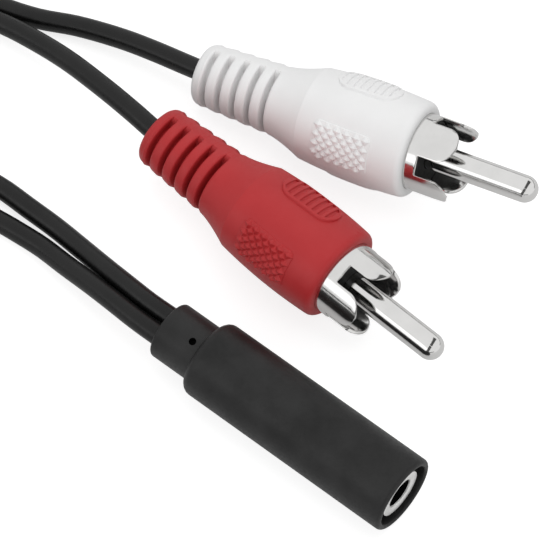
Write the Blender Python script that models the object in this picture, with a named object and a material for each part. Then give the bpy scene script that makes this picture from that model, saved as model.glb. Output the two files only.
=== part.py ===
"""Adapter cable: a moulded 3.5 mm jack socket, two round cords and two moulded phono plugs.

Lengths are in metres. Each connector is drawn along its own +X axis, with the origin at the
middle of its front face, and an empty then lays it in its place.
"""
import math

import bmesh
import bpy
from mathutils import Vector

MM = 0.001

# Gap between two pieces that touch on the real cable
FIT_GAP = 0.2 * MM

# Phono plug: outer moulding
BODY_DIAMETER = 12.0 * MM
BODY_LENGTH = 13.5 * MM
BODY_CROWN_STATION = 6.0 * MM
BODY_CROWN_RADIUS = 65.0 * MM
BODY_FRONT_FILLET = 0.8 * MM
SHOULDER_LENGTH = 4.5 * MM
NECK_DIAMETER = 8.35 * MM
RELIEF_LENGTH = 10.3 * MM
RELIEF_END_DIAMETER = 7.4 * MM
RELIEF_END_FILLET = 0.7 * MM
RELIEF_CORE_DIAMETER = 4.3 * MM
SLOT_COUNT = 5
SLOT_PITCH = 1.98 * MM
SLOT_WIDTH = 0.85 * MM
SLOT_END_COLLAR = 1.4 * MM
SPINE_ANGLE = math.radians(23.0)

# Phono plug: grip pads, which stand out of the body
PAD_RISE = 0.30 * MM
PAD_ROOT = 0.95 * MM
RIB_PAD_START = 3.3 * MM
RIB_PAD_LENGTH = 7.9 * MM
RIB_PAD_WIDTH = 4.0 * MM
RIB_COUNT = 9
RIB_PAD_RIM = 0.55 * MM
GROOVE_WIDTH = 0.40 * MM
KNURL_PAD_START = 4.0 * MM
KNURL_PAD_LENGTH = 7.3 * MM
KNURL_PAD_WIDTH = 5.0 * MM
KNURL_PAD_CORNER = 0.7 * MM
KNURL_PAD_RIM = 0.28 * MM
KNURL_STEP_ALONG = 0.57 * MM
KNURL_STEP_ROUND = 0.60 * MM
STUD_SIZE = 0.94
STUD_ROOT = 0.12 * MM

# Phono plug: metal and insulator
PIN_DIAMETER = 3.2 * MM
PIN_REACH = 14.9 * MM
PIN_COLLAR_DIAMETER = 4.2 * MM
PIN_COLLAR_LENGTH = 0.6 * MM
PIN_CUP_DIAMETER = 2.4 * MM
PIN_CUP_LENGTH = 3.2 * MM
PIN_CUP_BORE = 1.1 * MM
PIN_CUP_DEPTH = 2.5 * MM
SHELL_DIAMETER = 9.2 * MM
SHELL_WALL = 0.4 * MM
SHELL_REACH = 5.4 * MM
SHELL_TIP_INSET = 0.12 * MM
SHELL_SEAT = 2.5 * MM
SHELL_FLANGE_BORE = 5.2 * MM
SHELL_SLOT_WIDTH = 2.4 * MM
SHELL_SLOT_BASE = 1.45 * MM
FINGER_TIP_LENGTH = 1.9 * MM
INSULATOR_REACH = 1.35 * MM
INSULATOR_BOSS_DIAMETER = 4.8 * MM
INSULATOR_BOSS_LENGTH = 1.1 * MM
TAB_THICKNESS = 0.4 * MM
TAB_WIDTH = 1.6 * MM
TAB_LENGTH = 6.4 * MM

# Phono plug: inner mould
MOULD_DIAMETER = 8.4 * MM
MOULD_BODY_LENGTH = 7.7 * MM
MOULD_NOSE_DIAMETER = 5.2 * MM
MOULD_LENGTH = 13.4 * MM
RAMP_LENGTH = 2.6 * MM

# Cords and their cores
CORD_DIAMETER = 2.4 * MM
CORE_DIAMETER = 1.2 * MM
WIRE_DIAMETER = 0.5 * MM
SCREEN_DIAMETER = 0.6 * MM
PLUG_CORD_END = 15.3 * MM
CORE_BARED = 6.2 * MM

# Jack socket
BARREL_DIAMETER = 9.4 * MM
BARREL_LENGTH = 27.1 * MM
BARREL_FRONT_FILLET = 0.5 * MM
BARREL_REAR_FILLET = 1.0 * MM
COLLAR_DIAMETER = 7.0 * MM
COLLAR_LENGTH = 6.1 * MM
COLLAR_FILLET = 0.4 * MM
RECESS_DIAMETER = 7.4 * MM
RECESS_DEPTH = 1.0 * MM
MARK_DIAMETER = 0.87 * MM
MARK_DEPTH = 0.8 * MM
MARK_STATION = 1.8 * MM
MARK_ANGLE = math.radians(15.0)
BARREL_WALL = 0.6 * MM
FRONT_WALL = 1.8 * MM
REAR_WALL = 2.6 * MM
CORD_SPACING = 2.6 * MM
CAVITY_END = BARREL_LENGTH - REAR_WALL
JACKET_REACH = 0.7 * MM
SOCKET_CORD_END = CAVITY_END - JACKET_REACH
BUSHING_DIAMETER = 6.0 * MM
BUSHING_BORE = 3.6 * MM
BUSHING_LENGTH = 7.0 * MM
BUSHING_LEAD = 0.25 * MM
BUSHING_FLANGE_DIAMETER = 7.2 * MM
BUSHING_FLANGE_LENGTH = 1.0 * MM
BUSHING_TAIL_DIAMETER = 5.6 * MM
LUG_THICKNESS = 0.3 * MM
LUG_WIDTH = 1.8 * MM
WIRE_RUN = 3.0 * MM
LUG_END = SOCKET_CORD_END - WIRE_RUN
LUG_OVERHANG = 2.8 * MM
FRAME_END = LUG_END - LUG_OVERHANG
FRAME_REAR_WALL = 1.5 * MM
FRAME_BORE_END = FRAME_END - FRAME_REAR_WALL
SPRING_WIDTH = 2.0 * MM
SPRING_THICKNESS = 0.25 * MM
SPRING_HEIGHT = 2.9 * MM
CONTACT_HEIGHT = 1.45 * MM
TIP_CONTACT = 13.3 * MM
RING_CONTACT = 10.6 * MM
SPRING_BEND = 2.2 * MM
WINDOW_LEAD = 1.6 * MM
JOINT_SETBACK = 1.3 * MM
SOCKET_CORE_BARED = 0.9 * MM

# Roundness of turned and moulded pieces
OUTER_STEPS = 24
SHELL_STEPS = 28
FINE_STEPS = 20
INNER_STEPS = 16
CORE_STEPS = 8
FILLET_STEPS = 2
ROUTE_STEPS = 24

# Places, measured from the point that the view is centred on: front face and direction
LAYOUT_SHIFT = Vector((-7.697, 3.683, 0.0)) * MM
LEFT_PLUG_PLACE = (17.2 * MM, 11.3 * MM)
LEFT_PLUG_HEADING = math.radians(27.1)
RIGHT_PLUG_PLACE = (8.1 * MM, -4.284 * MM)
RIGHT_PLUG_HEADING = math.radians(41.9)
SOCKET_PLACE = (14.5 * MM, -31.0 * MM)
SOCKET_HEADING = math.radians(38.65)
PLUG_ROLL = math.radians(-31.0)
LEFT_SHELL_TURN = math.radians(83.4)
RIGHT_SHELL_TURN = math.radians(48.8)

# Points along each cord in millimetres, from inside the socket to inside the plug
LEFT_CORD_ROUTE = (
    (-4.90, -17.16, 4.7), (-8.18, -14.53, 4.7), (-12.24, -11.28, 4.7), (-15.21, -8.91, 4.6),
    (-18.0, -6.3, 4.1), (-20.6, -3.6, 3.3), (-23.4, -0.6, 2.3), (-26.1, 2.1, 1.55),
    (-28.7, 4.1, 1.25), (-31.1, 5.7, 1.2), (-35.4, 8.2, 1.2), (-40.5, 10.0, 1.2),
    (-46.5, 10.9, 1.2), (-53.0, 11.1, 1.2), (-60.0, 11.2, 1.2), (-68.0, 12.9, 1.2),
    (-74.4, 17.9, 1.2), (-78.5, 24.6, 1.2), (-79.8, 32.2, 1.2), (-78.2, 39.4, 1.2),
    (-73.8, 45.2, 1.2), (-67.0, 49.0, 1.2), (-59.0, 49.9, 1.2), (-51.2, 48.1, 1.2),
    (-45.5, 44.4, 1.2), (-42.0, 41.4, 1.2), (-39.2, 39.3, 1.2), (-36.0, 37.3, 1.2),
    (-31.9, 34.95, 1.2),
    (-27.4, 33.2, 1.25), (-22.7, 31.9, 1.6), (-17.7, 29.7, 2.25), (-13.6, 27.4, 2.85),
    (-7.88, 24.13, 3.65), (-2.0, 21.12, 4.48), (3.69, 18.21, 5.28),
)
RIGHT_CORD_ROUTE = (
    (-3.28, -15.13, 4.7), (-6.56, -12.50, 4.7), (-10.62, -9.24, 4.7), (-13.59, -6.87, 4.6),
    (-16.2, -4.3, 4.1), (-18.7, -1.7, 3.3), (-21.5, 1.3, 2.2), (-24.6, 4.4, 1.5),
    (-27.9, 7.4, 1.25), (-31.2, 10.25, 1.2), (-35.6, 12.9, 1.2), (-40.6, 14.1, 1.2),
    (-46.4, 14.3, 1.2), (-52.6, 14.0, 1.2), (-59.5, 14.1, 1.2), (-67.0, 15.9, 1.2),
    (-72.6, 20.3, 1.2), (-75.9, 26.0, 1.2), (-77.0, 32.2, 1.2), (-75.5, 38.3, 1.2),
    (-71.8, 43.0, 1.2), (-66.0, 46.1, 1.2), (-59.2, 47.0, 1.2), (-52.4, 45.3, 1.2),
    (-47.4, 41.9, 1.2), (-44.2, 39.0, 1.2), (-40.8, 36.7, 1.25), (-36.8, 34.5, 1.55),
    (-31.85, 32.15, 2.1),
    (-27.9, 29.4, 2.9), (-23.5, 25.6, 4.1), (-18.9, 20.86, 5.35), (-15.6, 17.32, 6.03),
    (-13.04, 14.686, 6.151), (-8.2, 10.336, 6.151), (-3.29, 5.936, 6.151),
)
CORD_POINT_SPACING = 5.6 * MM

# Bends of each screen tail in the socket in millimetres, from the end of the cord's jacket
SOCKET_TAILS = {
    "left": ((1.2, -0.585, -0.7), (2.3, 0.9, 0.3), (3.2, 2.2, 0.5)),
    "right": ((1.1, 1.9, 1.0), (2.3, 2.5, -0.2), (3.2, 2.85, -0.5)),
}
TAIL_SPACING = 1.0 * MM

# Bends of each core wire in the socket, as shares of its cord's offset and of the joint's height
WIRE_BENDS = ((0.8, 0.5), (0.45, 0.92), (0.35, 1.0))

# Toe of each contact spring, as shares of the spring's drop
SPRING_TOE = (0.8, 0.7)


def clear_scene():
    for thing in list(bpy.data.objects):
        bpy.data.objects.remove(thing, do_unlink=True)


def material(name, colour, roughness, metallic=0.0):
    made = bpy.data.materials.new(name)
    made.use_nodes = True
    shader = made.node_tree.nodes["Principled BSDF"]
    shader.inputs["Base Color"].default_value = (*colour, 1.0)
    shader.inputs["Roughness"].default_value = roughness
    shader.inputs["Metallic"].default_value = metallic
    return made


def add_object(name, mesh, parent, finish=None):
    made = bpy.data.objects.new(name, mesh)
    bpy.context.scene.collection.objects.link(made)
    made.parent = parent
    if finish is not None:
        mesh.materials.append(finish)
        mesh.shade_smooth()
        mesh.set_sharp_from_angle(angle=math.radians(35.0))
    return made


def mesh_from(bm, name):
    bmesh.ops.recalc_face_normals(bm, faces=bm.faces)
    mesh = bpy.data.meshes.new(name)
    bm.to_mesh(mesh)
    bm.free()
    return mesh


def arc(centre, radius, start, end, steps=FILLET_STEPS):
    """Points of a round corner in the plane of a turned outline, angles in degrees."""
    points = []
    for i in range(steps + 1):
        angle = math.radians(start + (end - start) * i / steps)
        points.append((centre[0] + radius * math.cos(angle), centre[1] + radius * math.sin(angle)))
    return points


def turned(name, outline, steps):
    """Solid of revolution about X. An outline that starts and ends on the axis is a solid
    bar, any other is closed on itself and has a bore."""
    bm = bmesh.new()
    corners = [bm.verts.new((x, 0.0, r)) for x, r in outline]
    edges = [bm.edges.new(pair) for pair in zip(corners, corners[1:])]
    if outline[0][1] > 0.0:
        edges.append(bm.edges.new((corners[-1], corners[0])))
    bmesh.ops.spin(bm, geom=corners + edges, cent=(0, 0, 0), axis=(1, 0, 0),
                   angle=2 * math.pi, steps=steps, use_merge=True)
    bmesh.ops.remove_doubles(bm, verts=bm.verts, dist=1e-7)
    return mesh_from(bm, name)


def prism(name, outline, low, high):
    """Outline in the XY plane, extruded along Z."""
    bm = bmesh.new()
    base = bm.faces.new([bm.verts.new((x, y, low)) for x, y in outline])
    grown = bmesh.ops.extrude_face_region(bm, geom=[base])
    top = [part for part in grown["geom"] if isinstance(part, bmesh.types.BMVert)]
    bmesh.ops.translate(bm, verts=top, vec=(0, 0, high - low))
    return mesh_from(bm, name)


def block(name, low, high):
    outline = ((low[0], low[1]), (high[0], low[1]), (high[0], high[1]), (low[0], high[1]))
    return prism(name, outline, low[2], high[2])


def helper(name, mesh, parent):
    made = add_object(name, mesh, parent)
    made.hide_render = True
    made.display_type = "WIRE"
    return made


def combine(target, tool, operation="DIFFERENCE"):
    change = target.modifiers.new(tool.name, "BOOLEAN")
    change.operation = operation
    change.solver = "EXACT"
    change.object = tool


def tube(name, points, diameter, parent, finish):
    """Round wire or cord through the points, with closed ends."""
    curve = bpy.data.curves.new(name, "CURVE")
    curve.dimensions = "3D"
    curve.bevel_depth = diameter / 2
    curve.bevel_resolution = 2
    curve.use_fill_caps = True
    line = curve.splines.new("POLY")
    line.points.add(len(points) - 1)
    for point, place in zip(line.points, points):
        point.co = (*place, 1.0)
    curve.materials.append(finish)
    made = bpy.data.objects.new(name, curve)
    bpy.context.scene.collection.objects.link(made)
    made.parent = parent
    return made


def smooth_route(route, spacing):
    """Evenly spaced points on a smooth curve through the route's own points."""
    marks = [Vector(point) * MM + LAYOUT_SHIFT for point in route]
    padded = [2 * marks[0] - marks[1]] + marks + [2 * marks[-1] - marks[-2]]
    fine = []
    for before, start, end, after in zip(padded, padded[1:], padded[2:], padded[3:]):
        for i in range(ROUTE_STEPS):
            t = i / ROUTE_STEPS
            fine.append(0.5 * (2 * start + (end - before) * t
                               + (2 * before - 5 * start + 4 * end - after) * t ** 2
                               + (3 * start - before - 3 * end + after) * t ** 3))
    fine.append(marks[-1])
    travelled = [0.0]
    for start, end in zip(fine, fine[1:]):
        travelled.append(travelled[-1] + (end - start).length)
    count = math.ceil(travelled[-1] / spacing)
    points = []
    place = 0
    for i in range(count):
        wanted = travelled[-1] * i / count
        while travelled[place + 1] < wanted:
            place += 1
        share = (wanted - travelled[place]) / (travelled[place + 1] - travelled[place])
        points.append(fine[place].lerp(fine[place + 1], share))
    points.append(marks[-1])
    return points


def body_radius(station):
    """Outer radius of the plug's gently crowned body at a distance behind its front face."""
    return BODY_DIAMETER / 2 - (station - BODY_CROWN_STATION) ** 2 / (2 * BODY_CROWN_RADIUS)


def body_stations():
    """Distances behind the front face at which the crowned body has its rings."""
    run = BODY_LENGTH - BODY_FRONT_FILLET
    return [BODY_FRONT_FILLET + run * share for share in (0.0, 1 / 3, 2 / 3, 1.0)]


def housing_outline():
    relief_start = BODY_LENGTH + SHOULDER_LENGTH
    length = relief_start + RELIEF_LENGTH
    front_radius = body_radius(BODY_FRONT_FILLET)
    bore = CORD_DIAMETER / 2 + FIT_GAP
    shell_bore = SHELL_DIAMETER / 2 + FIT_GAP
    seat = SHELL_SEAT + FIT_GAP
    mould_bore = MOULD_DIAMETER / 2 + FIT_GAP
    mould_straight = mould_front() + MOULD_BODY_LENGTH + FIT_GAP
    mould_end = mould_front() + MOULD_LENGTH + FIT_GAP
    nose_bore = MOULD_NOSE_DIAMETER / 2 + FIT_GAP
    points = [(0.0, shell_bore)]
    points += arc((-BODY_FRONT_FILLET, front_radius - BODY_FRONT_FILLET), BODY_FRONT_FILLET, 0, 90)
    points += [(-station, body_radius(station)) for station in body_stations()[1:]]
    points.append((-relief_start, NECK_DIAMETER / 2))
    end_radius = RELIEF_END_DIAMETER / 2
    points += arc((-length + RELIEF_END_FILLET, end_radius - RELIEF_END_FILLET),
                  RELIEF_END_FILLET, 90, 180)
    points += [(-length, bore), (-mould_end, bore), (-mould_end, nose_bore)]
    points += [(-mould_straight, mould_bore), (-seat, mould_bore), (-seat, shell_bore)]
    return points


def mould_front():
    """Distance behind the plug's front face at which the inner mould starts."""
    return SHELL_SEAT + FIT_GAP + TAB_THICKNESS + FIT_GAP


def relief_radius(station):
    """Outer radius of the strain relief at a distance behind the plug's front face."""
    start = BODY_LENGTH + SHOULDER_LENGTH
    share = (station - start) / RELIEF_LENGTH
    return (NECK_DIAMETER + (RELIEF_END_DIAMETER - NECK_DIAMETER) * share) / 2


def slot_cutters(parent, name):
    """The slots on both sides of the relief, between its two spines."""
    bm = bmesh.new()
    end = BODY_LENGTH + SHOULDER_LENGTH + RELIEF_LENGTH
    core = RELIEF_CORE_DIAMETER / 2
    half = SLOT_WIDTH / 2
    sweep = math.pi - SPINE_ANGLE
    for number in range(SLOT_COUNT):
        station = end - SLOT_END_COLLAR - half - number * SLOT_PITCH
        skin = relief_radius(station)
        section = ((-half, core), (half, core), (half, skin + SLOT_WIDTH), (-half, skin + SLOT_WIDTH))
        for side in (0.0, math.pi):
            corners = []
            for x, r in section:
                angle = side + SPINE_ANGLE / 2
                corners.append(bm.verts.new((x - station, r * math.sin(angle), r * math.cos(angle))))
            face = bm.faces.new(corners)
            bmesh.ops.spin(bm, geom=[face], cent=(0, 0, 0), axis=(-1, 0, 0), angle=sweep,
                           steps=OUTER_STEPS // 2 - 4, use_merge=False)
    return helper(name, mesh_from(bm, name), parent)


def racetrack(start, length, width):
    r = width / 2
    points = arc((-start - r, 0.0), r, -90, 90, 6)
    points += arc((-start - length + r, 0.0), r, 90, 270, 6)
    return points


def rounded_rectangle(start, length, width, corner):
    front, rear, side = -start - corner, -start - length + corner, width / 2 - corner
    points = arc((front, -side), corner, -90, 0) + arc((front, side), corner, 0, 90)
    points += arc((rear, side), corner, 90, 180) + arc((rear, -side), corner, 180, 270)
    return points


def groove_blocks(name):
    """Blocks that cut the grooves between the ribs of a racetrack pad."""
    bm = bmesh.new()
    pitch = RIB_PAD_LENGTH / RIB_COUNT
    end_radius = RIB_PAD_WIDTH / 2
    for number in range(1, RIB_COUNT):
        station = RIB_PAD_START + pitch * number
        past = max(RIB_PAD_START + end_radius - station,
                   station - (RIB_PAD_START + RIB_PAD_LENGTH - end_radius), 0.0)
        half_width = math.sqrt(end_radius ** 2 - past ** 2) - RIB_PAD_RIM
        low = (-station - GROOVE_WIDTH / 2, -half_width, 0.0)
        high = (-station + GROOVE_WIDTH / 2, half_width, BODY_DIAMETER)
        bm.from_mesh(block(name, low, high))
    return mesh_from(bm, name)


def knurl_opening(name):
    """Prism that leaves only the rim of a rectangular pad."""
    inset = KNURL_PAD_RIM
    outline = rounded_rectangle(KNURL_PAD_START + inset, KNURL_PAD_LENGTH - 2 * inset,
                                KNURL_PAD_WIDTH - 2 * inset, KNURL_PAD_CORNER - inset)
    return prism(name, outline, 0.0, BODY_DIAMETER)


def raised_pad(parent, name, outline, opening, turn, stage):
    """A pad's prism under the raised surface, less its openings, rooted in the body's wall."""
    pad = helper(name, prism(name, outline, BODY_DIAMETER / 2 - PAD_ROOT, BODY_DIAMETER), parent)
    hole = helper(name + "_opening", opening, parent)
    pad.rotation_euler.x = turn
    hole.rotation_euler.x = turn
    combine(pad, stage, "INTERSECT")
    combine(pad, hole)
    return pad


def knurl_studs(bm, turn):
    """Small pyramids in staggered rows that fill a rectangular pad."""
    rows = int(KNURL_PAD_LENGTH / KNURL_STEP_ALONG) - 1
    columns = int(KNURL_PAD_WIDTH / KNURL_STEP_ROUND) - 1
    along = KNURL_STEP_ALONG * STUD_SIZE
    around = KNURL_STEP_ROUND * STUD_SIZE
    for row in range(rows):
        for column in range(columns):
            if (row + column) % 2:
                continue
            station = KNURL_PAD_START + KNURL_PAD_LENGTH / 2 + (row - (rows - 1) / 2) * KNURL_STEP_ALONG
            skin = body_radius(station)
            low = skin - STUD_ROOT
            angle = turn + (column - (columns - 1) / 2) * KNURL_STEP_ROUND / skin
            centre = Vector((-station, low * math.sin(angle), low * math.cos(angle)))
            tangent = Vector((0.0, math.cos(angle), -math.sin(angle)))
            out = Vector((0.0, math.sin(angle), math.cos(angle)))
            base = [centre + Vector((along, 0, 0)), centre + tangent * around,
                    centre - Vector((along, 0, 0)), centre - tangent * around]
            base = [bm.verts.new(corner) for corner in base]
            peak = bm.verts.new(centre + out * (STUD_ROOT + PAD_RISE))
            bm.faces.new(base)
            for i in range(4):
                bm.faces.new((base[i], base[(i + 1) % 4], peak))


def plug_housing(name, parent, finish):
    housing = add_object(name, turned(name, housing_outline(), OUTER_STEPS), parent, finish)
    combine(housing, slot_cutters(parent, name + "_slots"))
    raised = [(-BODY_FRONT_FILLET, 0.0)]
    raised += [(-station, body_radius(station) + PAD_RISE) for station in body_stations()]
    raised.append((-BODY_LENGTH, 0.0))
    stage = helper(name + "_pad_surface", turned(name + "_pad_surface", raised, OUTER_STEPS), parent)
    ribbed = racetrack(RIB_PAD_START, RIB_PAD_LENGTH, RIB_PAD_WIDTH)
    knurled = rounded_rectangle(KNURL_PAD_START, KNURL_PAD_LENGTH, KNURL_PAD_WIDTH, KNURL_PAD_CORNER)
    studs = bmesh.new()
    for number in range(2):
        rib_turn = math.pi * number
        knurl_turn = rib_turn + math.pi / 2
        rib_name = f"{name}_rib_pad_{number}"
        knurl_name = f"{name}_knurl_pad_{number}"
        combine(housing, raised_pad(parent, rib_name, ribbed, groove_blocks(rib_name), rib_turn, stage),
                "UNION")
        combine(housing, raised_pad(parent, knurl_name, knurled, knurl_opening(knurl_name), knurl_turn,
                                    stage), "UNION")
        knurl_studs(studs, knurl_turn)
    stud_tool = helper(name + "_studs", mesh_from(studs, name + "_studs"), parent)
    combine(housing, stud_tool, "UNION")
    return housing


def plug_shell(name, parent, finish, turn):
    outer = SHELL_DIAMETER / 2
    inner = outer - SHELL_WALL
    flange = SHELL_SEAT - SHELL_WALL
    bend = SHELL_SLOT_BASE + (SHELL_REACH - SHELL_SLOT_BASE) / 2
    outline = [(SHELL_REACH, inner - SHELL_TIP_INSET), (SHELL_REACH, outer - SHELL_TIP_INSET),
               (bend, outer), (-SHELL_SEAT, outer), (-SHELL_SEAT, SHELL_FLANGE_BORE / 2),
               (-flange, SHELL_FLANGE_BORE / 2), (-flange, inner), (bend, inner)]
    shell = add_object(name, turned(name, outline, SHELL_STEPS), parent, finish)
    shell.rotation_euler.x = turn
    half = SHELL_SLOT_WIDTH / 2
    slot_edge = math.asin(half / outer)
    finger_half = math.pi / 4 - slot_edge
    shoulder = SHELL_REACH - FINGER_TIP_LENGTH
    steps = 4
    side = []
    for i in range(steps + 1):
        t = math.pi / 2 * i / steps
        angle = math.pi / 4 - finger_half * math.cos(t)
        side.append((shoulder + FINGER_TIP_LENGTH * math.sin(t), outer * math.sin(angle)))
    beyond = SHELL_REACH + SHELL_WALL
    side.append((beyond, side[-1][1]))
    outline = [(SHELL_SLOT_BASE, half)] + side
    outline += [(x, -y) for x, y in reversed(outline)]
    for number in range(2):
        tool_name = f"{name}_slots_{number}"
        tool = helper(tool_name, prism(tool_name, outline, -SHELL_DIAMETER, SHELL_DIAMETER), parent)
        tool.rotation_euler.x = turn + number * math.pi / 2
        combine(shell, tool)
    return shell


def plug_insulator(name, parent, finish):
    outer = SHELL_DIAMETER / 2 - SHELL_WALL - FIT_GAP
    bore = PIN_DIAMETER / 2 + FIT_GAP
    rear = SHELL_SEAT - SHELL_WALL - FIT_GAP
    boss = INSULATOR_BOSS_DIAMETER / 2
    boss_end = rear + INSULATOR_BOSS_LENGTH
    outline = [(INSULATOR_REACH, bore), (INSULATOR_REACH, outer), (-rear, outer), (-rear, boss),
               (-boss_end, boss), (-boss_end, bore)]
    return add_object(name, turned(name, outline, FINE_STEPS), parent, finish)


def plug_pin(name, parent, finish):
    radius = PIN_DIAMETER / 2
    collar_start = SHELL_SEAT - SHELL_WALL - FIT_GAP + INSULATOR_BOSS_LENGTH + FIT_GAP
    collar_end = collar_start + PIN_COLLAR_LENGTH
    cup_end = collar_end + PIN_CUP_LENGTH
    cup_floor = cup_end - PIN_CUP_DEPTH
    collar = PIN_COLLAR_DIAMETER / 2
    cup = PIN_CUP_DIAMETER / 2
    bore = PIN_CUP_BORE / 2
    dome = arc((PIN_REACH - radius, 0.0), radius, 0, 90, 4)
    dome[0] = (PIN_REACH, 0.0)
    outline = dome + [(-collar_start, radius), (-collar_start, collar), (-collar_end, collar),
                      (-collar_end, cup), (-cup_end, cup), (-cup_end, bore), (-cup_floor, bore),
                      (-cup_floor, 0.0)]
    return add_object(name, turned(name, outline, FINE_STEPS), parent, finish)


def plug_ground_tab(name, parent, finish):
    start = SHELL_SEAT + FIT_GAP
    end = start + TAB_THICKNESS
    outer = MOULD_DIAMETER / 2
    inner = INSULATOR_BOSS_DIAMETER / 2 + FIT_GAP
    ring = [(-start, inner), (-start, outer), (-end, outer), (-end, inner)]
    tab = add_object(name, turned(name, ring, INNER_STEPS), parent, finish)
    tongue_low = tongue_height() - TAB_THICKNESS / 2
    low = (-end - TAB_LENGTH, -TAB_WIDTH / 2, tongue_low)
    high = (-start - TAB_THICKNESS / 2, TAB_WIDTH / 2, tongue_low + TAB_THICKNESS)
    tongue = helper(name + "_tongue", block(name + "_tongue", low, high), parent)
    combine(tab, tongue, "UNION")
    return tab


def tongue_height():
    """Height of the middle of the ground tab's tongue, which lies below the axis."""
    inner = INSULATOR_BOSS_DIAMETER / 2 + FIT_GAP
    return -(MOULD_DIAMETER / 2 + inner) / 2 - TAB_THICKNESS / 4


def plug_inner_mould(name, parent, finish):
    start = mould_front()
    straight = start + MOULD_BODY_LENGTH
    end = start + MOULD_LENGTH
    cup_clear = PIN_CUP_DIAMETER / 2 + FIT_GAP
    collar_clear = PIN_COLLAR_DIAMETER / 2 + FIT_GAP
    collar_end = SHELL_SEAT - SHELL_WALL + INSULATOR_BOSS_LENGTH + PIN_COLLAR_LENGTH + FIT_GAP
    jacket_clear = CORD_DIAMETER / 2 + FIT_GAP
    boss_clear = max(collar_clear, INSULATOR_BOSS_DIAMETER / 2 + FIT_GAP)
    outline = [(-start, boss_clear), (-start, MOULD_DIAMETER / 2), (-straight, MOULD_DIAMETER / 2),
               (-end, MOULD_NOSE_DIAMETER / 2), (-end, jacket_clear),
               (-collar_end, cup_clear), (-collar_end, boss_clear)]
    mould = add_object(name, turned(name, outline, INNER_STEPS), parent, finish)
    tongue_end = SHELL_SEAT + FIT_GAP + TAB_THICKNESS + TAB_LENGTH + FIT_GAP
    keyway_floor = tongue_height() - TAB_THICKNESS / 2 - FIT_GAP
    half = TAB_WIDTH / 2 + FIT_GAP
    deep = helper(name + "_keyway", block(name + "_keyway", (-tongue_end, -half, keyway_floor),
                                          (-start + FIT_GAP, half, 0.0)), parent)
    combine(mould, deep)
    ramp_end = tongue_end + RAMP_LENGTH
    ramp_floor = keyway_floor + SCREEN_DIAMETER
    shallow = helper(name + "_ramp", block(name + "_ramp", (-ramp_end, -half / 2, ramp_floor),
                                           (-tongue_end + FIT_GAP, half / 2, 0.0)), parent)
    combine(mould, shallow)
    return mould


def plug_wiring(side, parent, copper, dielectric):
    bared = PLUG_CORD_END - FIT_GAP
    insulation_front = bared - CORE_BARED
    bore = WIRE_DIAMETER / 2 + FIT_GAP / 2
    outline = [(-insulation_front, bore), (-insulation_front, CORE_DIAMETER / 2),
               (-bared, CORE_DIAMETER / 2), (-bared, bore)]
    name = side + "_core_insulation"
    add_object(name, turned(name, outline, CORE_STEPS), parent, dielectric)
    cup_end = SHELL_SEAT - SHELL_WALL + INSULATOR_BOSS_LENGTH + PIN_COLLAR_LENGTH + PIN_CUP_LENGTH
    wire_front = cup_end - PIN_CUP_DEPTH + 2 * FIT_GAP
    wire = [(-bared, 0.0, 0.0), (-wire_front, 0.0, 0.0)]
    tube(side + "_core_wire", wire, WIRE_DIAMETER, parent, copper)
    beside = CORE_DIAMETER / 2 + SCREEN_DIAMETER / 2 + FIT_GAP / 2
    on_tab = tongue_height() + TAB_THICKNESS / 2 + SCREEN_DIAMETER / 2 + FIT_GAP
    tongue_end = SHELL_SEAT + FIT_GAP + TAB_THICKNESS + TAB_LENGTH
    tail = [(-bared, 0.0, -beside), (-tongue_end - RAMP_LENGTH, 0.0, -beside),
            (-tongue_end, 0.0, on_tab), (-tongue_end + TAB_LENGTH / 2, 0.0, on_tab)]
    tube(side + "_screen_tail", tail, SCREEN_DIAMETER, parent, copper)


def build_plug(side, parent, shell_turn, housing_finish, finishes):
    plug_housing(side + "_plug_housing", parent, housing_finish)
    plug_inner_mould(side + "_inner_mould", parent, finishes["mould"])
    plug_shell(side + "_shell", parent, finishes["nickel"], shell_turn)
    plug_insulator(side + "_insulator", parent, finishes["insulator"])
    plug_pin(side + "_pin", parent, finishes["nickel"])
    plug_ground_tab(side + "_ground_tab", parent, finishes["nickel"])
    plug_wiring(side, parent, finishes["copper"], finishes["dielectric"])


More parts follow.
